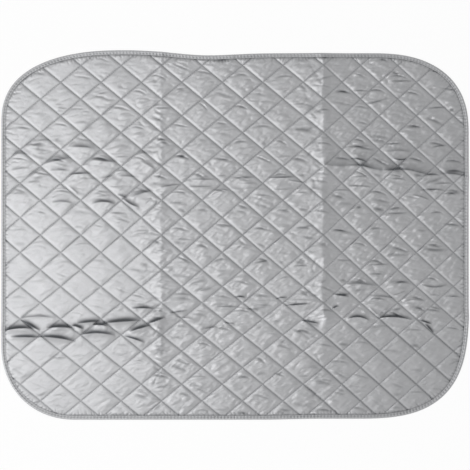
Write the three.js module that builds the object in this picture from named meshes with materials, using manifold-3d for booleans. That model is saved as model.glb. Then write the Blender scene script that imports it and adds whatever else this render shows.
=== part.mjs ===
// Quilted ironing pad, lying flat, that folds in thirds along two creases.
// Millimetres, +Z up, origin under the middle of the pad. +X runs along its length.
// A sewn cloth sandwich: a coated top cover, wadding, a back cover, an edge binding and two threads.
// Every layer is cut at the two creases, so that each third of the pad can turn as one body.

import * as THREE from 'three';
import { mergeVertices } from 'three/addons/utils/BufferGeometryUtils.js';
import Module from 'manifold-3d';

const wasm = await Module();
wasm.setup();

// Driving dimensions
const PAD_LENGTH = 700;
const PAD_WIDTH = 552;
const CORNER_RADIUS = 115;
const LEFT_THIRD = 239;
const CENTRE_THIRD = 243;
const DIAMOND_LENGTH = 60.6;
const DIAMOND_WIDTH = 51;
const QUILT_SHIFT = 12;
const PUFF_RISE = 3.4;
const CROWN_SHARE = 0.46;
const PUFF_RUN_OUT = 16;
const COVER_THICKNESS = 0.4;
const PRESSED_WADDING = 0.4;
const TAPE_THICKNESS = 0.5;
const BINDING_WIDTH = 7.5;
const RIM_SLOPE = 4;
const THREAD_WIDTH = 1;
const THREAD_HEIGHT = 0.5;
const STITCH_MARGIN = 2;
const CLEARANCE = 0.3;
const CORNER_STEPS = 8;

// The stack of layers, from the table up, at the rim inside the binding
const RIM_BACK = TAPE_THICKNESS + CLEARANCE;
const RIM_WADDING = RIM_BACK + COVER_THICKNESS + CLEARANCE;
const RIM_COVER = RIM_WADDING + PRESSED_WADDING + CLEARANCE;
const SEAM_LEVEL = RIM_COVER + COVER_THICKNESS;
const BINDING_HEIGHT = SEAM_LEVEL + CLEARANCE + TAPE_THICKNESS;

// Insets of the rim's lines from the outermost edge of the binding
const EDGE_INSET = TAPE_THICKNESS + CLEARANCE;
const FOOT_INSET = BINDING_WIDTH + CLEARANCE;
const FIELD_INSET = FOOT_INSET + RIM_SLOPE;

// The diamond lattice: nodes lie where the two counts add up to an even number
const HALF_LENGTH = DIAMOND_LENGTH / 2;
const HALF_WIDTH = DIAMOND_WIDTH / 2;
const SEAM_TO_CENTRE = (HALF_LENGTH * HALF_WIDTH) / Math.hypot(HALF_LENGTH, HALF_WIDTH);
const PUFF_RUN = SEAM_TO_CENTRE * (1 - CROWN_SHARE);
const THREAD_SEAT = SEAM_LEVEL + CLEARANCE + (PUFF_RISE / PUFF_RUN) * (THREAD_WIDTH / 2);

// Creases, as places along the pad's length
const LEFT_CREASE = LEFT_THIRD - PAD_LENGTH / 2;
const RIGHT_CREASE = LEFT_CREASE + CENTRE_THIRD;

const CLOTH = { color: 0xb9bbbf, roughness: 0.45, metalness: 0.6 };
const WADDING = { color: 0xe8e5de, roughness: 0.95, metalness: 0 };
const BACKING = { color: 0xd5d4d0, roughness: 0.85, metalness: 0 };
const TAPE = { color: 0x96989b, roughness: 0.7, metalness: 0 };
const THREAD = { color: 0x8b8d90, roughness: 0.8, metalness: 0 };

// Solids, cuts and joins

/** Makes a solid from a closed triangle mesh whose corners may still be repeated. */
function solidOf(geometry) {
  const bare = geometry.clone();
  bare.deleteAttribute('normal');
  bare.deleteAttribute('uv');
  const merged = mergeVertices(bare, 1e-5);
  return new wasm.Manifold(new wasm.Mesh({
    numProp: 3,
    vertProperties: new Float32Array(merged.attributes.position.array),
    triVerts: new Uint32Array(merged.index.array),
  }));
}

/** Makes a geometry of loose triangles, each a list of three [x, y, z] corners. */
function geometryOf(triangles) {
  const geometry = new THREE.BufferGeometry();
  geometry.setAttribute('position', new THREE.Float32BufferAttribute(triangles.flat(2), 3));
  return geometry;
}

/** Gives the largest body of a solid: a thread end that no other line crosses is left out. */
function largestBody(solid) {
  return solid.decompose().reduce((best, body) => (body.volume() > best.volume() ? body : best));
}

/** A box between two corners, as a solid. */
function boxBetween(low, high) {
  const box = new THREE.Box3(new THREE.Vector3(...low), new THREE.Vector3(...high));
  const size = box.getSize(new THREE.Vector3());
  const centre = box.getCenter(new THREE.Vector3());
  return solidOf(new THREE.BoxGeometry(size.x, size.y, size.z).translate(centre.x, centre.y, centre.z));
}

// The outline: a rectangle with round corners, and lines inset from it

const CORE_X = PAD_LENGTH / 2 - CORNER_RADIUS;
const CORE_Y = PAD_WIDTH / 2 - CORNER_RADIUS;

/** Points along the outline, anticlockwise, each with its corner's centre and its outward direction. */
function outlinePoints() {
  const points = [];
  const corners = [[1, 1], [-1, 1], [-1, -1], [1, -1]];
  corners.forEach(([sideX, sideY], corner) => {
    for (let step = 0; step <= CORNER_STEPS; step += 1) {
      const turn = (corner + step / CORNER_STEPS) * (Math.PI / 2);
      points.push({
        centre: [sideX * CORE_X, sideY * CORE_Y],
        out: [Math.cos(turn), Math.sin(turn)],
      });
    }
  });
  return points;
}

/** The outline's points drawn in by an inset, as [x, y] pairs. */
function insetOutline(inset) {
  const radius = CORNER_RADIUS - inset;
  return outlinePoints().map(({ centre, out }) => [
    centre[0] + out[0] * radius,
    centre[1] + out[1] * radius,
  ]);
}

/** Distance of a point inside the outermost edge. */
function depthInside(x, y) {
  const overX = Math.abs(x) - CORE_X;
  const overY = Math.abs(y) - CORE_Y;
  const outside = Math.hypot(Math.max(overX, 0), Math.max(overY, 0));
  return CORNER_RADIUS - outside - Math.min(Math.max(overX, overY), 0);
}

/** A point moved square to the outline, outwards. */
function pushedOut(point, distance) {
  const coreX = THREE.MathUtils.clamp(point.x, -CORE_X, CORE_X);
  const coreY = THREE.MathUtils.clamp(point.y, -CORE_Y, CORE_Y);
  const reach = Math.hypot(point.x - coreX, point.y - coreY);
  return {
    x: point.x + ((point.x - coreX) / reach) * distance,
    y: point.y + ((point.y - coreY) / reach) * distance,
    rise: 0,
    onRim: true,
  };
}

/** A ring that follows the outline with a closed section of [inset, height] corners, anticlockwise. */
function ringAlongOutline(section) {
  const rows = outlinePoints().map(({ centre, out }) => section.map(([inset, height]) => [
    centre[0] + out[0] * (CORNER_RADIUS - inset),
    centre[1] + out[1] * (CORNER_RADIUS - inset),
    height,
  ]));
  const triangles = [];
  rows.forEach((row, step) => {
    const next = rows[(step + 1) % rows.length];
    row.forEach((corner, side) => {
      const after = (side + 1) % row.length;
      triangles.push([corner, next[side], next[after]]);
      triangles.push([corner, next[after], row[after]]);
    });
  });
  return solidOf(geometryOf(triangles));
}

/** A flat plate with the outline's shape, between two heights. */
function plateInside(inset, bottom, top) {
  const shape = new THREE.Shape(insetOutline(inset).map(([x, y]) => new THREE.Vector2(x, y)));
  const plate = new THREE.ExtrudeGeometry(shape, { depth: top - bottom, bevelEnabled: false });
  return solidOf(plate.translate(0, 0, bottom));
}

// The quilting: a plan of diamonds, clipped to the field inside the rim

/** Cells of the lattice that cover the pad, as the middles of the diamonds. */
function diamondCentres() {
  const countX = Math.ceil(PAD_LENGTH / 2 / HALF_LENGTH) + 2;
  const countY = Math.ceil(PAD_WIDTH / 2 / HALF_WIDTH) + 1;
  const centres = [];
  for (let i = -countX; i <= countX; i += 1) {
    for (let j = -countY; j <= countY; j += 1) {
      if ((i + j) % 2 !== 0) {
        centres.push([QUILT_SHIFT + i * HALF_LENGTH, j * HALF_WIDTH]);
      }
    }
  }
  return centres;
}

/** The four corners of a diamond about a centre, anticlockwise, at a share of its full size. */
function diamondCorners([x, y], share) {
  return [
    [x + HALF_LENGTH * share, y],
    [x, y + HALF_WIDTH * share],
    [x - HALF_LENGTH * share, y],
    [x, y - HALF_WIDTH * share],
  ];
}

/** A plan point with its puff's height, which runs out to nothing at the field's edge. */
function quiltPoint([x, y], rise) {
  const room = THREE.MathUtils.clamp((depthInside(x, y) - FIELD_INSET) / PUFF_RUN_OUT, 0, 1);
  return { x, y, rise: rise * room, onRim: false };
}

/** The triangles of one puff whose four seams rise to a single peak. */
function peakedPuff(centre, rise) {
  const seam = diamondCorners(centre, 1).map((at) => quiltPoint(at, 0));
  const peak = quiltPoint(centre, rise);
  return seam.map((corner, k) => [corner, seam[(k + 1) % seam.length], peak]);
}

/** True where the rim cuts a puff short. */
function isCutShort(centre) {
  return diamondCorners(centre, 1).some(([x, y]) => depthInside(x, y) < FIELD_INSET);
}

/** One puff of the cover: sides that rise to a flat crown, or a peak where the rim cuts it short. */
function coverPuff(centre) {
  if (isCutShort(centre)) {
    return peakedPuff(centre, PUFF_RISE);
  }
  const seam = diamondCorners(centre, 1).map((at) => quiltPoint(at, 0));
  const crown = diamondCorners(centre, CROWN_SHARE).map((at) => quiltPoint(at, PUFF_RISE));
  const sides = seam.flatMap((corner, k) => {
    const next = (k + 1) % seam.length;
    return [[corner, seam[next], crown[next]], [corner, crown[next], crown[k]]];
  });
  return [...sides, [crown[0], crown[1], crown[2]], [crown[0], crown[2], crown[3]]];
}

/** The wadding in one puff: a peak that stays under the lowest corner of the cover's crown. */
function waddingPuff(centre) {
  const crown = diamondCorners(centre, CROWN_SHARE).map((at) => quiltPoint(at, PUFF_RISE));
  const lowest = isCutShort(centre) ? 0 : Math.min(...crown.map(({ rise }) => rise));
  return peakedPuff(centre, lowest);
}

/** Clips a plan polygon to a convex outline. New corners lie on the outline, where nothing rises. */
function clippedPolygon(polygon, outline) {
  return outline.reduce((kept, start, k) => {
    const end = outline[(k + 1) % outline.length];
    const side = ({ x, y }) => (end[0] - start[0]) * (y - start[1]) - (end[1] - start[1]) * (x - start[0]);
    return kept.flatMap((point, n) => {
      const after = kept[(n + 1) % kept.length];
      const here = side(point);
      const there = side(after);
      const inside = here >= 0 ? [point] : [];
      if (here * there >= 0) {
        return inside;
      }
      const share = here / (here - there);
      const crossing = {
        x: point.x + (after.x - point.x) * share,
        y: point.y + (after.y - point.y) * share,
        rise: 0,
        onRim: false,
      };
      return [...inside, crossing];
    });
  }, polygon);
}

const pointKey = ({ x, y }) => `${x.toFixed(5)},${y.toFixed(5)}`;

/** The edges of a plan that only one triangle has, in order round the plan. */
function boundaryLoop(triangles) {
  const open = new Map();
  triangles.forEach((triangle) => triangle.forEach((point, k) => {
    const after = triangle[(k + 1) % triangle.length];
    const back = `${pointKey(after)}|${pointKey(point)}`;
    if (!open.delete(back)) {
      open.set(`${pointKey(point)}|${pointKey(after)}`, [point, after]);
    }
  }));
  const following = new Map([...open.values()].map(([from, to]) => [pointKey(from), to]));
  const loop = [[...open.values()][0][0]];
  while (loop.length < following.size) {
    loop.push(following.get(pointKey(loop[loop.length - 1])));
  }
  return loop;
}

/** The plan of a quilted layer's field, from the puffs' triangles. */
function quiltedField(puff) {
  const outline = insetOutline(FIELD_INSET);
  const pieces = diamondCentres().flatMap(puff).map((triangle) => clippedPolygon(triangle, outline));
  return pieces.filter((piece) => piece.length > 2).flatMap((piece) => (
    piece.slice(2).map((corner, k) => [piece[0], piece[k + 1], corner])
  ));
}

/** The plan of a flat layer's field, inside a loop of points. */
function flatField(loop) {
  const flat = loop.map(({ x, y }) => new THREE.Vector2(x, y));
  const pick = (k) => ({ ...loop[k], rise: 0 });
  return THREE.ShapeUtils.triangulateShape(flat, []).map((corners) => corners.map(pick));
}

/** A closed layer: a field, a rim through lines at the given insets into the binding, and an upright edge. */
function closedLayer(topField, bottomField, topHeight, bottomHeight, rimInsets) {
  const field = boundaryLoop(topField);
  const lines = rimInsets.map((inset) => field.map((point) => pushedOut(point, FIELD_INSET - inset)));
  const edge = lines[lines.length - 1];
  const rim = lines.flatMap((outer, n) => outer.flatMap((point, k) => {
    const inner = n > 0 ? lines[n - 1] : field;
    const next = (k + 1) % outer.length;
    return [[inner[k], point, outer[next]], [inner[k], outer[next], inner[next]]];
  }));
  const raised = (height) => (point) => [point.x, point.y, height(point)];
  const top = [...topField, ...rim].map((corners) => corners.map(raised(topHeight)));
  const bottom = [...bottomField, ...rim].map((corners) => corners.map(raised(bottomHeight)).reverse());
  const wall = edge.flatMap((point, k) => {
    const after = edge[(k + 1) % edge.length];
    const low = [raised(bottomHeight)(point), raised(bottomHeight)(after)];
    const high = [raised(topHeight)(point), raised(topHeight)(after)];
    return [[low[0], low[1], high[1]], [low[0], high[1], high[0]]];
  });
  return solidOf(geometryOf([...top, ...bottom, ...wall])).simplify();
}

// The layers over the whole pad

const coverSurface = ({ rise }) => SEAM_LEVEL + rise;

function topCover() {
  const field = quiltedField(coverPuff);
  const underside = (point) => coverSurface(point) - COVER_THICKNESS;
  return closedLayer(field, field, coverSurface, underside, [EDGE_INSET]);
}

function wadding() {
  const field = quiltedField(waddingPuff);
  const upper = (point) => coverSurface(point) - COVER_THICKNESS - CLEARANCE;
  const lower = ({ onRim }) => (onRim ? RIM_WADDING : COVER_THICKNESS + CLEARANCE);
  return closedLayer(field, flatField(boundaryLoop(field)), upper, lower, [FOOT_INSET, EDGE_INSET]);
}

function backCover() {
  const outline = insetOutline(FIELD_INSET).map(([x, y]) => ({ x, y, rise: 0, onRim: false }));
  const field = flatField(outline);
  const lower = ({ onRim }) => (onRim ? RIM_BACK : 0);
  const upper = (point) => lower(point) + COVER_THICKNESS;
  return closedLayer(field, field, upper, lower, [FOOT_INSET, EDGE_INSET]);
}

/** The binding tape, folded over the edge of the three layers. */
function binding() {
  return ringAlongOutline([
    [0, 0],
    [0, BINDING_HEIGHT],
    [BINDING_WIDTH, BINDING_HEIGHT],
    [BINDING_WIDTH, BINDING_HEIGHT - TAPE_THICKNESS],
    [TAPE_THICKNESS, BINDING_HEIGHT - TAPE_THICKNESS],
    [TAPE_THICKNESS, TAPE_THICKNESS],
    [BINDING_WIDTH, TAPE_THICKNESS],
    [BINDING_WIDTH, 0],
  ]);
}

/** The row of stitches that holds the binding, lying on the tape near its inner edge. */
function bindingThread() {
  const seat = BINDING_HEIGHT + CLEARANCE;
  const inner = BINDING_WIDTH - STITCH_MARGIN;
  return ringAlongOutline([
    [inner - THREAD_WIDTH, seat],
    [inner - THREAD_WIDTH, seat + THREAD_HEIGHT],
    [inner, seat + THREAD_HEIGHT],
    [inner, seat],
  ]);
}

/** The net of quilting thread: a plate over the field with a hole for every puff. */
function quiltingThread() {
  const share = (SEAM_TO_CENTRE - THREAD_WIDTH / 2) / SEAM_TO_CENTRE;
  const holes = diamondCentres().map((centre) => {
    const corners = diamondCorners(centre, share).map(([x, y]) => new THREE.Vector2(x, y));
    const hole = new THREE.ExtrudeGeometry(new THREE.Shape(corners), {
      depth: THREAD_HEIGHT + 2 * CLEARANCE,
      bevelEnabled: false,
    });
    return solidOf(hole.translate(0, 0, THREAD_SEAT - CLEARANCE));
  });
  const plate = plateInside(FOOT_INSET, THREAD_SEAT, THREAD_SEAT + THREAD_HEIGHT);
  return plate.subtract(wasm.Manifold.compose(holes));
}

// The thirds of the pad, each a group that turns as one body

const layers = {
  top_cover: [topCover(), CLOTH],
  wadding: [wadding(), WADDING],
  back_cover: [backCover(), BACKING],
  quilting_thread: [quiltingThread(), THREAD],
};
const edging = {
  binding: [binding(), TAPE],
  binding_thread: [bindingThread(), THREAD],
};

/** The part of the pad between two places along its length, and on one side of its middle or both. */
function region(fromX, toX, fromY, toY) {
  return boxBetween([fromX, fromY, -PAD_WIDTH], [toX, toY, PAD_WIDTH]);
}

function pieceMesh(name, solid, finish) {
  const { vertProperties, triVerts } = largestBody(solid).getMesh();
  const geometry = new THREE.BufferGeometry();
  geometry.setAttribute('position', new THREE.BufferAttribute(new Float32Array(vertProperties), 3));
  geometry.setIndex(new THREE.BufferAttribute(new Uint32Array(triVerts), 1));
  geometry.computeVertexNormals();
  const mesh = new THREE.Mesh(geometry, new THREE.MeshStandardMaterial(finish));
  mesh.name = name;
  return mesh;
}

/** One third of the pad: its layers, and its edging in one length or in a far and a near length. */
function third(name, fromX, toX, lengths) {
  const group = new THREE.Group();
  const cut = (pieces, prefix, box) => Object.entries(pieces).forEach(([piece, [solid, finish]]) => {
    group.add(pieceMesh(`${prefix}_${piece}`, solid.intersect(box), finish));
  });
  cut(layers, name, region(fromX, toX, -PAD_WIDTH, PAD_WIDTH));
  lengths.forEach(({ prefix, fromY, toY }) => cut(edging, prefix, region(fromX, toX, fromY, toY)));
  return group;
}

const oneLength = (prefix) => [{ prefix, fromY: -PAD_WIDTH, toY: PAD_WIDTH }];
const twoLengths = (prefix) => [
  { prefix: `${prefix}_far`, fromY: 0, toY: PAD_WIDTH },
  { prefix: `${prefix}_near`, fromY: -PAD_WIDTH, toY: 0 },
];
const HALF_GAP = CLEARANCE / 2;

const ironingPad = new THREE.Group();
ironingPad.add(third('left', -PAD_LENGTH, LEFT_CREASE - HALF_GAP, oneLength('left')));
ironingPad.add(third('centre', LEFT_CREASE + HALF_GAP, RIGHT_CREASE - HALF_GAP, twoLengths('centre')));
ironingPad.add(third('right', RIGHT_CREASE + HALF_GAP, PAD_LENGTH, oneLength('right')));

export default ironingPad;
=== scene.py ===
"""Dresses the ironing pad: a quilted, silver-coated cover over felt, a cloth back and a bound edge.

Every layer follows one plan of the pad: its outline, its lattice of quilting seams and its packing creases.
Each layer is made in a left and a right length, which meet in the middle of the centre third.
"""

import logging
import math
from collections.abc import Callable
from dataclasses import dataclass, field
from enum import Enum

import bmesh
import bpy
import numpy as np
from mathutils import Matrix, Vector


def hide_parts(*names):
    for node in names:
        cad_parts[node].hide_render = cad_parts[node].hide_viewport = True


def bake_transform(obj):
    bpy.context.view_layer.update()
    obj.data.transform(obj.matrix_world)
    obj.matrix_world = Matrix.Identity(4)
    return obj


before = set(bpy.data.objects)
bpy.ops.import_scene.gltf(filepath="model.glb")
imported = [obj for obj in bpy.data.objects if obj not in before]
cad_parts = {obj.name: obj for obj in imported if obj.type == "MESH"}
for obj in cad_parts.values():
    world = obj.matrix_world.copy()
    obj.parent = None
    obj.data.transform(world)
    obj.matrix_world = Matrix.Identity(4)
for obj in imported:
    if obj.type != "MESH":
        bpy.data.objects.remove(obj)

MM = 0.001

Array = np.ndarray
Pair = tuple[float, float]
Draw = np.random.Generator
Piece = bpy.types.Object
Material = bpy.types.Material
Tree = bpy.types.NodeTree
Node = bpy.types.Node
Socket = bpy.types.NodeSocket
Reliefs = list[tuple[Socket, float, float]]
Net = bmesh.types.BMesh

logging.basicConfig(level=logging.INFO, format="%(message)s")
LOG = logging.getLogger("ironing_pad")


class Side(Enum):
    """The two lengths in which each layer is made."""

    LEFT = "left"
    RIGHT = "right"


class End(Enum):
    """The two ends of a length in which the finely meshed cover is made."""

    FAR = "far"
    NEAR = "near"


class Face(Enum):
    """The two faces of the pad that stitches show on; the value is the way they arch."""

    TOP = 1
    BACK = -1


def linear(hex_colour: str) -> tuple[float, float, float, float]:
    """Turn an sRGB hex colour into linear light.

    Args:
        hex_colour: The colour, such as "C8C9CC".

    Returns:
        Red, green, blue and an alpha of one.
    """
    channels = [int(hex_colour[i : i + 2], 16) / 255 for i in (0, 2, 4)]
    light = [c / 12.92 if c <= 0.04045 else ((c + 0.055) / 1.055) ** 2.4 for c in channels]
    return (light[0], light[1], light[2], 1.0)


def add_node(
    tree: Tree, kind: str, inputs: dict[str | int, object] | None = None, **settings: object
) -> Node:
    """Add one node, set it up and link it.

    Args:
        tree: The node tree that gets the node.
        kind: The node's Blender type.
        inputs: Values for its sockets, or the sockets that feed them.
        settings: The node's own settings.

    Returns:
        The new node.
    """
    node = tree.nodes.new(kind)
    for name, value in settings.items():
        setattr(node, name, value)
    for socket, value in (inputs or {}).items():
        if isinstance(value, Socket):
            tree.links.new(value, node.inputs[socket])
        else:
            node.inputs[socket].default_value = value
    return node


def smooth_step(value: Array, low: float, high: float) -> Array:
    """Rise smoothly from 0 at low to 1 at high.

    Args:
        value: The numbers.
        low: Where the rise starts.
        high: Where it ends.

    Returns:
        The share risen.
    """
    t = np.clip((value - low) / (high - low), 0.0, 1.0)
    return t * t * (3 - 2 * t)


def bell(value: Array, centre: float, width: float) -> Array:
    """A smooth bump of height 1 round centre."""
    return np.exp(-0.5 * ((value - centre) / width) ** 2)


def off_whole(numbers: Array) -> Array:
    """Give how far numbers lie from the nearest whole one."""
    return np.abs(numbers - np.round(numbers))


def lengths_along(line: Array) -> Array:
    """Give how far along a line each of its points lies."""
    return np.concatenate([[0], np.cumsum(np.linalg.norm(np.diff(line, axis=0), axis=1))])


def vertex_places(piece: Piece) -> Array:
    """Give the places of an object's vertices, one row each.

    Args:
        piece: The object.

    Returns:
        The places.
    """
    points = np.empty(3 * len(piece.data.vertices))
    piece.data.vertices.foreach_get("co", points)
    return points.reshape(-1, 3)


def keep_values(piece: Piece, name: str, values: Array) -> None:
    """Keep a number or a vector for each vertex, for the material to read.

    Args:
        piece: The object.
        name: The attribute's name.
        values: One row for each vertex.
    """
    kind, key = ("FLOAT", "value") if values.ndim == 1 else ("FLOAT_VECTOR", "vector")
    attribute = piece.data.attributes.new(name, kind, "POINT")
    attribute.data.foreach_set(key, values.astype(np.float32).ravel())


def piece_from(mesh: bpy.types.Mesh, name: str, material: Material) -> Piece:
    """Make a smooth-shaded object.

    Args:
        mesh: Its finished mesh.
        name: Its name.
        material: Its material.

    Returns:
        The object, in the scene.
    """
    mesh.materials.clear()
    mesh.materials.append(material)
    mesh.polygons.foreach_set("use_smooth", [True] * len(mesh.polygons))
    piece = bpy.data.objects.new(name, mesh)
    bpy.context.collection.objects.link(piece)
    return piece


@dataclass(frozen=True)
class Wrinkle:
    """One short crease that is pressed into the cover: a sharp valley between two soft lips.

    Sizes are in metres. The crease runs along a shallow arc, with its middle at (x, y). Each lip has a
    height, as a share of the valley's, and a place across the crease, in widths.
    """

    LIPS = ((0.45, 1.9), (0.3, -2.1))
    VALLEY = 0.65
    # The valley's painted shade: how deep a crease is for full shade, and how narrow the shade lies.
    SHADE_DEPTH = 1.4 * MM
    SHADE_NARROWING = 1.15

    x: float
    y: float
    half_length: float
    width: float
    depth: float
    bow: float
    turn: float

    def measure(self, x: Array, y: Array) -> tuple[Array, Array]:
        """Find where points lie on the crease.

        Args:
            x: Distances along the pad.
            y: Distances across the pad.

        Returns:
            The crease's strength, from 1 in its middle to 0 at its ends, and the widths across it.
        """
        along = (x - self.x) * math.cos(self.turn) + (y - self.y) * math.sin(self.turn)
        across = (y - self.y) * math.cos(self.turn) - (x - self.x) * math.sin(self.turn)
        share = along / self.half_length
        strength = np.clip(1 - share**2, 0, None) ** 1.5
        return strength, (across + self.bow * share**2) / self.width

    def relief(self, x: Array, y: Array) -> Array:
        """Give the crease's height.

        Args:
            x: Distances along the pad.
            y: Distances across the pad.

        Returns:
            The height at each point.
        """
        strength, away = self.measure(x, y)
        lips = sum(height * np.exp(-((away - place) ** 2)) for height, place in self.LIPS)
        return self.VALLEY * self.depth * strength * (lips - np.exp(-(away**2)))

    def shade_and_wear(self, x: Array, y: Array) -> Array:
        """Give the painted shade in the crease's valley, from 0 to 1.

        Args:
            x: Distances along the pad.
            y: Distances across the pad.

        Returns:
            The painted shade at each point.
        """
        strength, away = self.measure(x, y)
        painted_shading = min(1.0, self.depth / self.SHADE_DEPTH)
        return painted_shading * strength * np.exp(-((self.SHADE_NARROWING * away) ** 2))


@dataclass(frozen=True)
class Pucker(Wrinkle):
    """A small fold that stands up like an eyebrow: a sharp crest with two flanks."""

    FAR_FLANK, NEAR_FLANK = 1.1, 1.9
    CREST = 0.02
    # Where the fold's painted shadow lies, how far it spreads and how dark it gets.
    SHADE_PLACE = 0.1
    SHADE_NEAR = 0.35
    SHADE_DEPTH = 2 * MM
    SHADE_FAR_DEPTH = 2.5 * MM
    SHADE_MOST = 1.8

    def relief(self, x: Array, y: Array) -> Array:
        """Give the fold's height.

        Args:
            x: Distances along the pad.
            y: Distances across the pad.

        Returns:
            The height at each point.
        """
        strength, away = self.measure(x, y)
        flank = np.where(away > 0, self.FAR_FLANK, self.NEAR_FLANK)
        return self.depth * np.sqrt(strength) * np.exp(-np.sqrt(away**2 + self.CREST) / flank)

    def shade_and_wear(self, x: Array, y: Array) -> Array:
        """Give the painted shadow of the fold: most on the crest, less up its far flank.

        Args:
            x: Distances along the pad.
            y: Distances across the pad.

        Returns:
            The painted shadow at each point.
        """
        strength, away = self.measure(x, y)
        far = 1.0 + min(1.0, self.depth / self.SHADE_FAR_DEPTH)
        spread = np.where(away > self.SHADE_PLACE, far, self.SHADE_NEAR)
        fold_shade = self.SHADE_MOST * min(1.0, self.depth / self.SHADE_DEPTH) ** 1.6 * strength**0.5
        return fold_shade * np.exp(-(((away - self.SHADE_PLACE) / spread) ** 2))


@dataclass(frozen=True)
class WrinkleKind:
    """The spans in mm from which a kind of wrinkle is drawn, and the mean and the spread of its turn."""

    half_length: Pair
    width: Pair
    depth: Pair
    bow: Pair
    turn: Pair

    def half(self, draw: Draw) -> float:
        """Draw half of a wrinkle's length."""
        return draw.uniform(*self.half_length) * MM

    def wrinkle(
        self, draw: Draw, x: float, y: float, half: float, loose: float = 1.0, heading: float = 0.0
    ) -> Wrinkle:
        """Draw the rest of a wrinkle.

        Args:
            draw: The seeded source of chance.
            x: The wrinkle's middle along the pad.
            y: The wrinkle's middle across the pad.
            half: Half of its length.
            loose: How loose the cover is there.
            heading: The way from which it turns.

        Returns:
            The wrinkle.
        """
        return Wrinkle(
            x,
            y,
            half,
            width=draw.uniform(*self.width) * MM,
            depth=draw.uniform(*self.depth) * loose * MM,
            bow=draw.uniform(*self.bow) * MM,
            turn=heading + draw.normal(*self.turn),
        )


@dataclass(frozen=True)
class PackingCrease:
    """A crease from packing that stands up a little: a ridge with a flank on either side.

    The ridge wanders, its height varies along it, and it fades out between the two places of fade.
    """

    place: float
    height: float
    flank_before: float
    flank_after: float
    # How dark a painted shade lies on the crest, and how far it reaches beyond it.
    painted_shade: float = 0.0
    shade_reach: float = 2.2 * MM
    slant: float = 0.0
    crest: float = 0.8 * MM
    wander: float = 0.9 * MM
    unevenness: float = 0.45
    waves: tuple[float, float, float] = (43 * MM, 71 * MM, 157 * MM)
    fade: Pair = (-1.0, -0.9)

    def line_at(self, along: Array) -> Array:
        """Give where the ridge's crest runs."""
        wave = 2 * math.pi * (along + self.place) / self.waves[1]
        return self.place + self.slant * along + self.wander * np.sin(wave)

    def height_at(self, distance: Array, along: Array) -> Array:
        """Give the ridge's height.

        Args:
            distance: Places across the ridge.
            along: Places along the ridge.

        Returns:
            The height at each place.
        """
        away = distance - self.line_at(along)
        flank = np.where(away < 0, self.flank_before, self.flank_after)
        return self.height * self.share_at(along) * np.exp(-np.sqrt(away**2 + self.crest**2) / flank)

    def share_at(self, along: Array) -> Array:
        """Give how strong the ridge is along its run: about 1, uneven, and less where it fades."""
        waves = sum(np.sin(2 * math.pi * (along + self.place) / wave) for wave in self.waves)
        return (1 + self.unevenness * waves / len(self.waves)) * smooth_step(along, *self.fade)

    def shade_at(self, distance: Array, along: Array) -> Array:
        """Give the painted shade along the crease: most on the crest, less and less beyond it.

        Args:
            distance: Places across the ridge.
            along: Places along the ridge.

        Returns:
            The painted shade at each place.
        """
        away = distance - self.line_at(along)
        shade_strength = np.where(away < 0, np.exp(away / MM), np.exp(-away / self.shade_reach))
        return self.painted_shade * shade_strength * self.share_at(along) ** 2


@dataclass(frozen=True)
class Corner:
    """A rounded corner of the outline: how far it reaches along and across the pad, and how full it is."""

    along: float
    across: float
    fullness: float

    def depth(self, to_end: Array, to_side: Array) -> Array:
        """Give how far inside the corner's curve points lie.

        Args:
            to_end: Distances to the pad's straight end.
            to_side: Distances to the pad's straight side.

        Returns:
            The distance to the curve, negative outside, close to exact near the curve.
        """
        u = 1 - to_end / self.along
        v = 1 - to_side / self.across
        reach = (u**self.fullness + v**self.fullness) ** (1 / self.fullness)
        bend = self.fullness - 1
        return (1 - reach) / np.hypot((u / reach) ** bend / self.along, (v / reach) ** bend / self.across)


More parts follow.
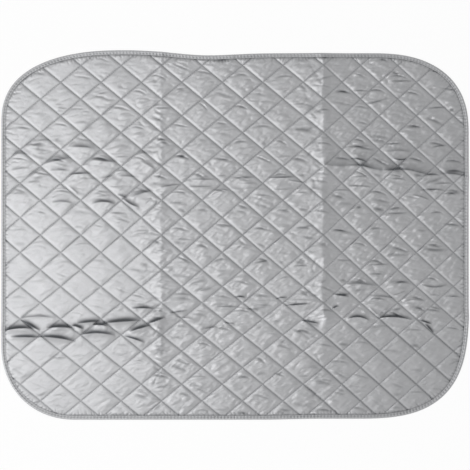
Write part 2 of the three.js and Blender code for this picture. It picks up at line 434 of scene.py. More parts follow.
@dataclass
class PadOutline:
    """The pad's outline, in metres: rounded corners, and long edges that wander a little."""

    length: float = 700 * MM
    width: float = 552 * MM
    far_corners: tuple[Corner, Corner] = (Corner(165 * MM, 110 * MM, 2.5), Corner(145 * MM, 125 * MM, 2.5))
    near_corners: tuple[Corner, Corner] = (Corner(110 * MM, 110 * MM, 2.1), Corner(172 * MM, 172 * MM, 2.95))
    # In mm, how much the far edge drops, and where it bulges from that: how much, its place and its width.
    far_drop: float = 4.5
    far_bulges: tuple[tuple[float, float, float], ...] = ((4.5, -165, 60), (-3.7, -45, 40))
    near_drop: float = 1.4 * MM
    near_drop_span: Pair = (-130 * MM, -40 * MM)
    edge_shift_reach: Pair = (0.12, 0.26)
    trace_points: int = 4801
    trace_halvings: int = 40

    def edge_shift(self, x: Array, y: Array) -> Array:
        """Give how far the long edges wander from straight.

        Args:
            x: Distances along the pad.
            y: Distances across the pad.

        Returns:
            The shift across the pad, which dies away from the edges inwards.
        """
        far = -self.far_drop
        for size, place, width in self.far_bulges:
            far = far + size * bell(x, place * MM, width * MM)
        near = -self.near_drop * smooth_step(-x, *self.near_drop_span)
        reach = self.edge_shift_reach
        return far * MM * smooth_step(y, *reach) + near * smooth_step(-y, *reach)

    def depth(self, x: Array, y: Array) -> Array:
        """Give how far inside the outline points lie.

        Args:
            x: Distances along the pad.
            y: Distances across the pad.

        Returns:
            The distance to the edge, negative outside.
        """
        level = y - self.edge_shift(x, y)
        to_end = self.length / 2 - np.abs(x)
        to_side = self.width / 2 - np.abs(level)
        found = np.minimum(to_end, to_side)
        for is_far, corners in ((False, self.near_corners), (True, self.far_corners)):
            for is_right, corner in zip((False, True), corners):
                here = ((level > 0) == is_far) & ((x > 0) == is_right)
                here &= (to_end < corner.along) & (to_side < corner.across)
                found[here] = corner.depth(to_end[here], to_side[here])
        return found

    def outline(self) -> Array:
        """Trace the outline, clockwise from the middle of the near edge.

        Returns:
            Closely spaced points, the last one on the first.
        """
        turns = -math.pi / 2 - np.linspace(0, 2 * math.pi, self.trace_points)
        direction = np.stack([np.cos(turns), np.sin(turns)], axis=1)
        low = np.zeros(len(turns))
        high = np.full(len(turns), self.length)
        for _ in range(self.trace_halvings):
            middle = (low + high) / 2
            inside = self.depth(*(direction * middle[:, None]).T) > 0
            low = np.where(inside, middle, low)
            high = np.where(inside, high, middle)
        return direction * low[:, None]

    def edge_walk(self, side: Side, step: float) -> tuple[Array, Array, Array]:
        """Walk along the edge of one half of the pad in even steps.

        Args:
            side: The half to walk round.
            step: About how long each step is.

        Returns:
            The points, the directions towards the inside and the distances walked.
        """
        loop = self.outline()
        half = len(loop) // 2
        line = loop[: half + 1] if side is Side.LEFT else loop[half:]
        walked = lengths_along(line)
        stations = np.linspace(0, walked[-1], int(round(walked[-1] / step)) + 1)
        points = np.stack([np.interp(stations, walked, line[:, k]) for k in (0, 1)], axis=1)
        along = np.gradient(points, axis=0)
        along /= np.linalg.norm(along, axis=1, keepdims=True)
        return points, np.stack([along[:, 1], -along[:, 0]], axis=1), stations


@dataclass
class QuiltLattice(PadOutline):
    """The lattice of quilting seams on the pad.

    A place has two lattice numbers: a counts the falling seams, and b the rising ones.
    """

    lattice_x: float = 11.7 * MM
    lattice_y: float = 2.0 * MM
    half_diamond_length: float = 30.27 * MM
    half_diamond_length_right: float = 27.8 * MM
    half_diamond_width: float = 25.12 * MM
    narrower_from: int = 4
    row_shift: float = 4.5 * MM
    row_shift_place: float = -60 * MM
    row_shift_width: float = 62 * MM
    lattice_reach: int = 12
    crowding: float = 0.25

    @property
    def seam_pitch(self) -> float:
        """The distance between two seams, measured along the other family."""
        return math.hypot(self.half_diamond_length, self.half_diamond_width)

    def crowd(self, numbers: Array) -> Array:
        """Draw the lines of an even net closer together beside the seams."""
        return numbers - self.crowding * np.sin(2 * math.pi * numbers) / (2 * math.pi)

    def place(self, a: Array, b: Array) -> tuple[Array, Array]:
        """Turn lattice numbers into a place on the pad.

        Args:
            a: The number of the falling seam, with its share up to the next.
            b: The number of the rising seam, with its share up to the next.

        Returns:
            The distances along and across the pad.
        """
        column = a + b
        x = self.lattice_x + self.half_diamond_length * np.minimum(column, self.narrower_from)
        x = x + self.half_diamond_length_right * np.maximum(column - self.narrower_from, 0)
        y = self.lattice_y + self.half_diamond_width * (a - b)
        return x, y - self.row_shift * bell(y, self.row_shift_place, self.row_shift_width)

    def from_seam(self, a: Array, b: Array) -> Array:
        """Give the distance to the nearest seam."""
        return np.minimum(off_whole(a), off_whole(b)) * self.seam_pitch


@dataclass
class CreasedPad(QuiltLattice):
    """The creases that packing has left in the pad, and how loose its cover is in each third."""

    left_crease: float = -111 * MM
    right_crease: float = 132 * MM
    crease_blend: float = 6 * MM
    upright_creases: tuple[PackingCrease, ...] = (
        PackingCrease(-111 * MM, 1.7 * MM, 8 * MM, 9 * MM, crest=1.4 * MM, fade=(-0.25, -0.15)),
        PackingCrease(
            132 * MM, 4.0 * MM, 22 * MM, 15 * MM, crest=2.4 * MM, wander=1.5 * MM, fade=(-0.23, -0.1)
        ),
    )
    level_creases: tuple[tuple[PackingCrease, ...], ...] = (
        (
            PackingCrease(-143 * MM, 2.8 * MM, 16 * MM, 8 * MM),
            PackingCrease(104 * MM, 0.6 * MM, 10 * MM, 12 * MM, crest=4 * MM),
            PackingCrease(48 * MM, 0.4 * MM, 10 * MM, 12 * MM, crest=4 * MM),
        ),
        (
            PackingCrease(67 * MM, 1.6 * MM, 6 * MM, 4.5 * MM),
            PackingCrease(-101 * MM, 1.5 * MM, 6 * MM, 4.5 * MM),
        ),
        (
            # The far crease of the right third carries a painted dark line on its crest and a wide band of
            # painted shade beyond it.
            PackingCrease(
                118 * MM, 2.1 * MM, 14 * MM, 7 * MM, 0.6, 3.2 * MM, -0.09, crest=1.6 * MM, wander=2 * MM
            ),
            PackingCrease(119 * MM, 1.2 * MM, 12 * MM, 50 * MM, 0.17, 30 * MM, -0.09, wander=2 * MM),
            PackingCrease(-125 * MM, 2.2 * MM, 14 * MM, 8 * MM),
        ),
    )
    loose_thirds: tuple[float, float, float] = (0.5, 1.15, 1.7)
    loose_change: float = 50 * MM
    wavy_far: float = 1.1
    wavy_place: float = 115 * MM
    wavy_width: float = 70 * MM
    taut_near: float = 0.55
    taut_from: float = 120 * MM

    def level_sum(self, measure: str, x: Array, y: Array) -> Array:
        """Add up the level packing creases, each of which crosses only its own third.

        Args:
            measure: The creases' method that is added up, "height_at" or "shade_at".
            x: Distances along the pad.
            y: Distances across the pad.

        Returns:
            The sum at each point.
        """
        blend = self.crease_blend
        past_left = smooth_step(x, self.left_crease - blend, self.left_crease + blend)
        past_right = smooth_step(x, self.right_crease - blend, self.right_crease + blend)
        shares = (1 - past_left, past_left * (1 - past_right), past_right)
        total = np.zeros(len(x))
        for share, creases in zip(shares, self.level_creases):
            total += share * sum(getattr(crease, measure)(y, x) for crease in creases)
        return total

    def lift(self, x: Array, y: Array) -> Array:
        """Give how far all the layers stand off the table along the packing creases."""
        height = sum(crease.height_at(x, y) for crease in self.upright_creases)
        return height + self.level_sum("height_at", x, y)

    def looseness(self, x: Array, y: Array) -> Array:
        """Give how loose the cover is.

        The left third lies flatter but for its far crease. The right third is looser, but its near end is
        pressed flat.

        Args:
            x: Distances along the pad.
            y: Distances across the pad.

        Returns:
            The looseness at each point, about 1.
        """
        left, centre, right = self.loose_thirds
        left = left * (1 + self.wavy_far * bell(y, self.wavy_place, self.wavy_width))
        past_left = smooth_step(x, self.left_crease - self.loose_change, self.left_crease)
        past_right = smooth_step(x, self.right_crease, self.right_crease + self.loose_change)
        near = smooth_step(-y, self.taut_from, self.taut_from + self.loose_change)
        pressed = 1 - self.taut_near * past_right * near
        return (left + (centre - left) * past_left + (right - centre) * past_right) * pressed


@dataclass
class WrinkledPad(CreasedPad):
    """The wrinkles, gathers and fine crumples of the cover, drawn from a seed or placed after the photo.

    Spacings of wrinkles, lengths of crumples and the placed folds are in mm.
    """

    binding_width: float = 6.4 * MM
    strip_widths: Pair = (10 * MM, 24 * MM)
    strip_spacing: Pair = (4, 11)
    gather_spacing: Pair = (3.5, 8)
    long_chance: float = 0.7
    long_shift: Pair = (-6, 4)
    long_up: Pair = (0.25, 0.62)
    short_most: int = 2
    short_reach: float = 0.7
    short_share: Pair = (0.4, 0.9)
    wrinkle_margin: float = 20 * MM
    wrinkle_reach: Pair = (8 * MM, 18 * MM)
    strip_kind: WrinkleKind = WrinkleKind((5, 12), (1.2, 3.0), (0.2, 0.75), (-2, 2), (0, 0.7))
    gather_kind: WrinkleKind = WrinkleKind((2.5, 6.5), (0.7, 1.2), (0.3, 0.8), (-1, 1), (0, 0.45))
    long_kind: WrinkleKind = WrinkleKind((10, 16), (1.1, 1.9), (0.6, 1.2), (0, 3.5), (-0.15, 0.15))
    short_kind: WrinkleKind = WrinkleKind((4, 20), (1.2, 2.6), (0.3, 0.9), (-1.0, 2.5), (-0.1, 0.2))
    crumple_count: int = 36
    crumple_lengths: Pair = (5.5, 38)
    crumple_lean: Pair = (0.2, 0.5)
    crumple_height: float = 0.42 * MM
    crumple_wave: float = 24 * MM
    crumple_growth: float = 0.9
    crumple_rounding: float = 0.02
    crumple_middle: float = 0.8
    # Folds along the level creases: x, y, half length, width, depth and bow in mm, and the turn in radians.
    placed_folds: tuple[tuple[float, ...], ...] = (
        (-325, -140, 24, 2.4, 3.5, 3.5, 0.1), (-306, -136, 17, 2.1, 2.6, 0, -0.5),
        (-295, -123, 27, 2.1, 1.2, 2.5, 0), (-261, -138, 22, 2.4, 3.5, 2.5, 0),
        (-314, -153, 22, 2.2, 2.9, 1, 0), (-267, -154, 29, 2.5, 3.7, 3, -0.12),
        (-235, -138, 9, 2.2, 3.1, 1, -0.3), (-219, -131, 18, 2.2, 2.4, 0, 0.1),
        (-202, -135, 12, 2.1, 3.4, 1, -0.05), (-170, -130, 29, 2.7, 4.1, 1, 0.08),
        (-142, -140, 17, 2.2, 3.1, 1, 0.3), (-118, -129, 15, 2.2, 2.9, 0, 0.35),
        (-206, -147, 27, 2.5, 2.8, 4, 0), (-151, -156, 17, 2.1, 1.9, 1, -0.3),
        (-138, -110, 18, 2.1, 1.9, 1.5, 0), (-305, 134, 12, 2.2, 0.8, 1, 0),
        (-229, 131, 20, 3.1, 1.3, 1, -0.05), (-284, 141, 18, 2.2, 0.8, 2, -0.05),
        (-265, 111, 20, 3.6, 1.4, 0, 0.2), (-196, 110, 20, 3.1, 1.4, 0, -0.1),
        (-321, 121, 16, 3.9, 1, 2, 0), (-322, 98, 14, 2, 1.1, 1, 0.15), (-262, 96, 15, 1.9, 1.1, 1, 0),
        (-298, 92, 12, 3.4, 0.8, 0, 0.6), (-232, 91, 18, 1.9, 1.4, 1, 0.05), (-217, 83, 14, 1.7, 0.7, 0, 0),
        (-191, 86, 10, 1.9, 1.1, 1, 0.2), (-160, 87, 16, 2, 1.1, 1, -0.05), (-169, 95, 9, 1.9, 0.8, 1, 0),
        (-130, 104, 14, 3.1, 1.1, 1, -0.5), (-135, 122, 13, 3.6, 1.1, 4, 0),
        (-301, 78, 9, 2.2, 0.8, 1, 0.1), (-242, 67, 9, 2, 1.1, 0, -0.7), (-259, 49, 15, 2.3, 1.3, 2, 0),
        (-197, 49, 18, 2.6, 1.7, 4, 0), (-169, 57, 8, 2.4, 1.3, 0, -0.3),
        (-157, 46, 14, 2.2, 1.7, -2, -0.5), (-139, 62, 18, 3.1, 1.4, 2, 0.3),
        (-329, 61, 13, 1.7, 0.6, 1, 0), (-319, 47, 14, 1.7, 0.4, 1, 0), (-48, 82, 17, 1.2, 1.3, 0, 0),
        (-22, 87, 8, 1.2, 0.9, 0, 0.1), (12, 84.5, 18, 1.1, 1.2, 0, 0.05), (70, 85, 20, 1.3, 1.6, 0, 0.03),
        (-97, 73, 15, 1.3, 1.3, 1, 0.15), (-52, 71, 18, 1.2, 1.1, 0, 0), (-19, 66.5, 10, 1.1, 1.2, 1, 0),
        (18, 76, 14, 1.1, 0.8, 0, 0), (69, 66.5, 14, 1, 0.7, 0, 0), (-82, 63, 15, 1, 0.7, 1, 0),
        (100, 62, 9, 1.2, 0.9, 1, 0), (40, 58, 13, 1.1, 0.9, 0, 0), (93, 79, 14, 1.2, 1.1, 0, -0.15),
        (-15, -108.5, 20, 1, 1.2, 0, 0), (7.5, -93.5, 8, 1.4, 1.9, 1, 0), (40, -106, 15, 1.3, 1, 1, 0),
        (93, -105, 19, 1.3, 2.2, 0, 0.08), (69, -95, 9, 1.3, 1.6, 1, 0.15),
        (-85, -116, 14, 1.4, 1.6, 0, 0.15), (-75, -125, 16, 1.2, 0.9, 0, -0.15),
        (25, -112, 9, 1.2, 1.4, 0, 0), (-9, -133, 8, 1.2, 1.5, 0, -0.1),
        (112, -131, 13, 1.4, 2.4, 0, -0.15), (97, -98, 16, 1, 0.7, 1, 0),
        (-40, -140, 14, 1.6, 1.3, 1, 0.15), (184, -123, 17, 1.6, 3, 5, -0.05),
        (238, -123, 27, 1.7, 3.8, 4, -0.04), (208, -116, 10, 1.7, 0.9, 0, -0.75),
        (221, -117, 10, 1.7, 0.9, 0, 0.65), (284, -131, 10, 1.4, 2, 0, -0.3),
        (290, -140, 10, 1.4, 2, 0, -0.8), (190, -74, 23, 2.4, 1.2, 2, -0.06),
        (244, -71, 19, 2.2, 1, 3, -0.05), (298, -79, 20, 1.6, 1.4, -4, 0),
        (160, -91, 11, 2.2, 1.5, 1, -0.15), (223, -93, 18, 1.4, 1.3, 2, -0.1),
        (244, -89, 12, 1.1, 1.1, 0, 0.35), (325, -93, 12, 1.3, 1.3, 1, 0), (149, -109, 6, 1.3, 2, 1, 0.5),
        (268, -98, 16, 1.2, 0.9, 2, 0), (185, 112, 13, 1.5, 1.5, 2, -0.2), (247, 111, 10, 1.2, 1.7, -2, 0),
        (244, 125, 20, 2.4, 0.9, 2, 0), (184, 72, 19, 1.3, 1.3, 1, -0.03), (295, 67, 19, 1.3, 1.4, 2, 0),
        (310, 76, 14, 1.2, 1.2, 1, 0.05), (278, 56, 14, 1.3, 1.2, 1, -0.3), (160, 66, 12, 1.2, 1.1, 1, 0),
    )
    seed: int = 7
    wrinkles: list[Wrinkle] = field(default_factory=list)
    crumples: list[tuple[float, float, float, float]] = field(default_factory=list)
    gathers: list[Wrinkle] = field(default_factory=list)
    tilt: Array = field(init=False)

    def __post_init__(self) -> None:
        """Draw the pad's own wrinkles and the small differences between its puffs."""
        draw = np.random.default_rng(self.seed)
        shortest, longest = (math.log(length) for length in self.crumple_lengths)
        for _ in range(self.crumple_count):
            length = math.exp(draw.uniform(shortest, longest)) * MM
            wave = 2 * math.pi / length
            lean = math.pi / 2 + draw.normal(*self.crumple_lean)
            phase = draw.uniform(0, 2 * math.pi)
            size = (length / self.crumple_wave) ** self.crumple_growth
            self.crumples.append((wave * math.cos(lean), wave * math.sin(lean), phase, size))
        reach = 2 * self.lattice_reach
        self.tilt = draw.uniform(-1, 1, (2 * reach, 2 * reach, 3))
        for a in range(-self.lattice_reach, self.lattice_reach):
            for b in range(-self.lattice_reach, self.lattice_reach):
                x, y = self.place(np.array([a + 0.5]), np.array([b + 0.5]))
                if self.depth(x, y)[0] > -self.wrinkle_margin:
                    self.wrinkles += self.diamond_wrinkles(float(x[0]), float(y[0]), draw)
        for *sizes, turn in self.placed_folds:
            self.wrinkles.append(Pucker(*(size * MM for size in sizes), turn))
        self.wrinkles += self.strip_wrinkles(draw)
        self.gathers = self.edge_gathers(draw)

    def strip_wrinkles(self, draw: Draw) -> list[Wrinkle]:
        """Draw the small wrinkles of the crumpled strips along the upright packing creases.

        Args:
            draw: The seeded source of chance.

        Returns:
            The wrinkles.
        """
        found = []
        for crease, strip in zip(self.upright_creases, self.strip_widths):
            y = -self.width / 2
            while y < self.width / 2:
                x = crease.place - draw.uniform(0, strip)
                found.append(self.strip_kind.wrinkle(draw, x, y, self.strip_kind.half(draw)))
                y += draw.uniform(*self.strip_spacing) * MM
        return found

    def edge_gathers(self, draw: Draw) -> list[Wrinkle]:
        """Draw the small creases that run inwards from the binding, where the tape gathers the cover.

        Args:
            draw: The seeded source of chance.

        Returns:
            The creases.
        """
        line = self.outline()
        walked = lengths_along(line)
        station = 0.0
        found = []
        while station < walked[-1]:
            k = int(np.searchsorted(walked, station))
            along = line[min(k + 1, len(line) - 1)] - line[k - 1 if k else 0]
            inward = np.array([along[1], -along[0]]) / np.hypot(*along)
            half = self.gather_kind.half(draw)
            x, y = (float(part) for part in line[k] + inward * (self.binding_width + 0.5 * half))
            heading = math.atan2(inward[1], inward[0])
            found.append(self.gather_kind.wrinkle(draw, x, y, half, heading=heading))
            station += draw.uniform(*self.gather_spacing) * MM
        return found

    def diamond_wrinkles(self, x: float, y: float, draw: Draw) -> list[Wrinkle]:
        """Draw the wrinkles of one diamond.

        Args:
            x: The diamond's middle along the pad.
            y: The diamond's middle across the pad.
            draw: The seeded source of chance.

        Returns:
            Its wrinkles.
        """
        found = []
        loose = float(self.looseness(np.array([x]), np.array([y]))[0])
        if draw.random() < self.long_chance:
            here = x + draw.uniform(*self.long_shift) * MM
            up = draw.uniform(*self.long_up) * self.half_diamond_width
            found.append(self.long_kind.wrinkle(draw, here, y + up, self.long_kind.half(draw), loose))
        shortest, longest = (length * MM for length in self.short_kind.half_length)
        for _ in range(int(draw.integers(0, self.short_most + 1))):
            up = draw.uniform(-self.short_reach, self.short_reach) * self.half_diamond_width
            room = (1 - abs(up) / self.half_diamond_width) * self.half_diamond_length
            half = float(np.clip(draw.uniform(*self.short_share) * room, shortest, longest))
            here = x + draw.uniform(-self.short_reach, self.short_reach) * max(room - half, 0)
            found.append(self.short_kind.wrinkle(draw, here, y + up, half, loose))
        return found

    def crumple(self, x: Array, y: Array) -> Array:
        """Give the fine crumpling of the coated cloth: sharp valleys between soft mounds.

        Args:
            x: Distances along the pad.
            y: Distances across the pad.

        Returns:
            The change of height at each point.
        """
        waves = sum(size * np.cos(kx * x + ky * y + phase) for kx, ky, phase, size in self.crumples)
        waves = waves / math.sqrt(sum(size**2 for *_, size in self.crumples) / 2)
        return self.crumple_height * (np.sqrt(waves**2 + self.crumple_rounding) - self.crumple_middle)

    def add_up(self, wrinkles: list[Wrinkle], measure: str, x: Array, y: Array) -> Array:
        """Add up what some wrinkles do to the cover.

        Args:
            wrinkles: The wrinkles to add up.
            measure: The wrinkles' method that is added up, "relief" or "wear".
            x: Distances along the pad.
            y: Distances across the pad.

        Returns:
            The sum at each point.
        """
        order = np.argsort(x, kind="stable")
        ranked = x[order]
        total = np.zeros(len(x))
        for wrinkle in wrinkles:
            reach = wrinkle.half_length + self.wrinkle_reach[0]
            first, last = np.searchsorted(ranked, (wrinkle.x - reach, wrinkle.x + reach))
            near = order[first:last]
            near = near[np.abs(y[near] - wrinkle.y) < self.wrinkle_reach[1]]
            total[near] += getattr(wrinkle, measure)(x[near], y[near])
        return total


@dataclass
class PadPlan(WrinkledPad):
    """The heights that every layer of the pad follows, in metres, and the painted shade and wear of its
    coating.
    """

    seam_level: float = 2.6 * MM
    seam_tuck: float = 0.5 * MM
    tuck_width: float = 1.2 * MM
    puff_rise: float = 1.1 * MM
    shoulder_width: float = 4.5 * MM
    shoulder_share: float = 0.42
    rising_fullness: float = 0.5
    puff_spread: float = 0.15
    puff_lean: float = 0.5
    tape_overlap: float = 1.5 * MM
    puff_run_out: float = 5 * MM
    felt_share: float = 0.35
    back_puff: float = 0.8 * MM
    # The seams are painted darker as painted shade of their grooves, the falling ones more as the light
    # falls across them, with a little needle rubbing; near the right crease's near end the falling seams get
    # more painted shade.
    shade_width: float = 1.4 * MM
    falling_seam_shade: float = 0.44
    rising_seam_shade: float = 0.27
    crease_shade: float = 0.68
    # The band just inside the binding is painted darker as painted shade, where the cover meets the tape.
    rim_shade: float = 0.45
    rim_shade_band: Pair = (0.4 * MM, 0.8 * MM)
    pressed_before: float = 60 * MM
    pressed_across: Pair = (110 * MM, 150 * MM)
    pressed_shade: float = 0.5

    def rim(self, x: Array, y: Array) -> Array:
        """Give how far the puffs have risen from the binding, from 0 to 1."""
        start = self.binding_width - self.tape_overlap
        return smooth_step(self.depth(x, y), start, start + self.puff_run_out)

    def tuck(self, a: Array, b: Array) -> Array:
        """Give how far the cover has risen from the nearest seam, from 0 on it to 1."""
        return 1 - np.exp(-self.from_seam(a, b) / self.tuck_width)

    def swell(self, a: Array, b: Array) -> Array:
        """Give how full the puffs stand, from 0 on the seams to 1.

        Args:
            a: Places across the falling seams.
            b: Places across the rising seams.

        Returns:
            The fullness at each place.
        """
        s, t = off_whole(a), off_whole(b)
        shoulder = smooth_step(s * self.seam_pitch, 0, self.shoulder_width)
        across = self.shoulder_share * shoulder + (1 - self.shoulder_share) * 4 * s * (1 - s)
        return across * (4 * t * (1 - t)) ** self.rising_fullness

    def calm(self, a: Array) -> Array:
        """Give how free the cover is to crumple, from 0 on the falling seams, which pull it taut, to 1."""
        return smooth_step(off_whole(a) * self.seam_pitch, 0, 2 * self.shoulder_width)

    def top(self, a: Array, b: Array) -> Array:
        """Give the height of the coated cover.

        Args:
            a: Places across the falling seams.
            b: Places across the rising seams.

        Returns:
            The heights over the table.
        """
        x, y = self.place(a, b)
        rim = self.rim(x, y)
        tuck = self.tuck(a, b) * rim
        swell = self.swell(a, b) * rim
        s = a - np.floor(a) - 0.5
        t = b - np.floor(b) - 0.5
        reach = 2 * self.lattice_reach
        own = self.tilt[np.floor(a).astype(int) + reach, np.floor(b).astype(int) + reach]
        fullness = 1 + self.puff_spread * own[:, 0]
        fullness = fullness + self.puff_lean * own[:, 1] * s + self.puff_lean * own[:, 2] * t
        loose = self.looseness(x, y)
        puff = (self.seam_tuck * tuck + self.puff_rise * swell * fullness) * np.sqrt(loose)
        fine = self.add_up(self.wrinkles, "relief", x, y) * tuck
        fine += self.crumple(x, y) * loose * self.calm(a) * tuck
        tape, overlap = self.binding_width, self.tape_overlap
        free = smooth_step(self.depth(x, y), tape - overlap, tape + overlap)
        gathered = self.add_up(self.gathers, "relief", x, y) * free
        return self.seam_level + puff + fine + gathered + self.lift(x, y)

    def felt(self, a: Array, b: Array) -> Array:
        """Give the height up to which the felt may fill the puffs.

        Args:
            a: Places across the falling seams.
            b: Places across the rising seams.

        Returns:
            The heights over the table.
        """
        x, y = self.place(a, b)
        rim = self.rim(x, y)
        puff = self.felt_share * (self.seam_tuck * self.tuck(a, b) + self.puff_rise * self.swell(a, b))
        return self.seam_level + puff * rim + self.lift(x, y)

    def back(self, a: Array, b: Array) -> Array:
        """Give the height of the cloth back's lower face."""
        x, y = self.place(a, b)
        return self.back_puff * (1 - self.swell(a, b) * self.rim(x, y)) + self.lift(x, y)

    def shade_and_wear(self, a: Array, b: Array) -> Array:
        """Give the painted shade and wear of the coating, from 0 to 1: on the seams, in the creases, along
        the packing creases and inside the binding.

        Args:
            a: Places across the falling seams.
            b: Places across the rising seams.

        Returns:
            The wear at each place.
        """
        x, y = self.place(a, b)
        pitch = self.seam_pitch / self.shade_width
        falling, rising = (np.exp(-((off_whole(part) * pitch) ** 2)) for part in (a, b))
        pressed = smooth_step(x, self.right_crease - self.pressed_before, self.right_crease)
        pressed = 1 + self.pressed_shade * (pressed * smooth_step(-y, *self.pressed_across))
        # Painted shade along the seams, stronger on the falling seams and near the right crease's near end.
        shade_strength = np.maximum(self.falling_seam_shade * falling * pressed, self.rising_seam_shade * rising)
        # Painted shade in the valleys of the wrinkles and gathers, and painted shadow on the folds' far
        # flanks.
        fold_shade = self.crease_shade * self.add_up(self.wrinkles + self.gathers, "shade_and_wear", x, y)
        # A band of painted shade just inside the binding.
        inside, spread = self.rim_shade_band
        rim_shade_part = self.rim_shade * bell(self.depth(x, y), self.binding_width + inside, spread)
        return np.clip(shade_strength + fold_shade + rim_shade_part + self.level_sum("shade_at", x, y), 0, 1)


@dataclass(frozen=True)
class Finish:
    """A material's name, its main colour, how rough it is, and how metallic or downy."""

    name: str
    colour: str
    roughness: float
    metallic: float = 0.0
    sheen: float = 0.0

    # What the cloudy patterns share, and what the patterns of threads share.
    CLOUDY = {"Detail": 4.0, "Roughness": 0.65}
    THREADED = {"Distortion": 0.6, "Detail": 1.0}

    def make(self) -> Material:
        """Make the material: one Principled shader, with the colour and relief of its kind.

        Returns:
            The material.
        """
        material = bpy.data.materials.new(self.name)
        material.use_nodes = True
        tree = material.node_tree
        tree.nodes.clear()
        place = add_node(tree, "ShaderNodeTexCoord").outputs["Object"]
        colour, reliefs = self.dress(tree, place)
        normal = {}
        for height, strength, distance in reliefs:
            bump = {"Height": height, "Strength": strength, "Distance": distance, **normal}
            normal = {"Normal": add_node(tree, "ShaderNodeBump", bump).outputs["Normal"]}
        look = {"Roughness": self.roughness, "Metallic": self.metallic, "Sheen Weight": self.sheen}
        look["Base Color"] = linear(self.colour)
        shader = add_node(tree, "ShaderNodeBsdfPrincipled", {**look, **normal})
        tree.links.new(colour, shader.inputs["Base Color"])
        add_node(tree, "ShaderNodeOutputMaterial", {"Surface": shader.outputs["BSDF"]})
        return material

    def dress(self, tree: Tree, place: Socket) -> tuple[Socket, Reliefs]:
        """Add what the eye sees of this kind of material.

        Args:
            tree: The material's node tree.
            place: Where on the piece the patterns are laid.

        Returns:
            The colour, and patterns that each have the strength and the height in metres of their relief.
        """
        raise NotImplementedError


@dataclass(frozen=True)
class SilverCoatedCloth(Finish):
    """Woven polyester with an aluminium-pigment coating: a soft metallic lustre over a fine plain weave.

    It is painted darker along the seams, in the creases and folds, along the packing creases, just inside
    the binding and in the tape's stitch dents; this is painted shade, with a little needle rubbing on the
    seams.
    """

    metallic: float = 0.7
    deep_colour: str = "B6B7B9"
    # The dark colour that the painted shade, with a little wear, mixes in.
    painted_shade_colour: str = "55575A"
    thread_spacing: float = 1.1 * MM
    thread_relief: Pair = (0.12, 0.1 * MM)
    shade_patch: float = 30 * MM
    grain: float = 3.2 * MM
    grain_relief: Pair = (0.5, 0.3 * MM)
    laid_along: str = ""

    def dress(self, tree: Tree, place: Socket) -> tuple[Socket, Reliefs]:
        """Add cloudy shades darkened by painted shade and a little wear, and the relief of the grain and the
        weave.

        Args:
            tree: The material's node tree.
            place: Where on the piece the patterns are laid.

        Returns:
            The colour, and the patterns with their relief.
        """
        if self.laid_along:
            place = add_node(tree, "ShaderNodeAttribute", attribute_name=self.laid_along).outputs["Vector"]
        cloudy = {"Vector": place, **self.CLOUDY}
        patches = add_node(tree, "ShaderNodeTexNoise", {"Scale": 1 / self.shade_patch, **cloudy})
        shades = {0: patches.outputs["Fac"], 6: linear(self.deep_colour), 7: linear(self.colour)}
        shade = add_node(tree, "ShaderNodeMix", shades, data_type="RGBA").outputs[2]
        # The attribute read here is painted shade of the seams, creases, folds, binding rim and stitch
        # dents, with a little wear.
        shade_and_wear = add_node(tree, "ShaderNodeAttribute", attribute_name="coating_wear").outputs["Fac"]
        painted_shading = {0: shade_and_wear, 6: shade, 7: linear(self.painted_shade_colour)}
        colour = add_node(tree, "ShaderNodeMix", painted_shading, data_type="RGBA").outputs[2]
        grain = add_node(tree, "ShaderNodeTexNoise", {"Scale": 1 / self.grain, **cloudy}).outputs["Fac"]
        reliefs = [(grain, *self.grain_relief)]
        # Real threads lie about 0.3 mm apart; they are drawn coarser so that they show.
        weave = {"Vector": place, "Scale": 1 / (math.pi * self.thread_spacing), **self.THREADED}
        for axis in "XY":
            threads = add_node(tree, "ShaderNodeTexWave", weave, bands_direction=axis).outputs["Fac"]
            reliefs.append((threads, *self.thread_relief))
        return colour, reliefs


@dataclass(frozen=True)
class NeedledFelt(Finish):
    """Needled polyester felt: matt, off-white and cloudy, with a tangle of short fibres."""

    sheen: float = 0.25
    deep_colour: str = "D6D3CB"
    cloud: float = 9 * MM
    fibre: float = 0.9 * MM
    fibre_relief: Pair = (0.6, 0.4 * MM)

    def dress(self, tree: Tree, place: Socket) -> tuple[Socket, Reliefs]:
        """Add clouds, and the relief of the fibres.

        Args:
            tree: The material's node tree.
            place: Where on the piece the patterns are laid.

        Returns:
            The colour, and the patterns with their relief.
        """
        cloudy = {"Vector": place, **self.CLOUDY}
        clouds = add_node(tree, "ShaderNodeTexNoise", {"Scale": 1 / self.cloud, **cloudy}).outputs["Fac"]
        shades = {0: clouds, 6: linear(self.deep_colour), 7: linear(self.colour)}
        colour = add_node(tree, "ShaderNodeMix", shades, data_type="RGBA").outputs[2]
        fibres = add_node(tree, "ShaderNodeTexNoise", {"Scale": 1 / self.fibre, **cloudy}).outputs["Fac"]
        return colour, [(fibres, *self.fibre_relief)]


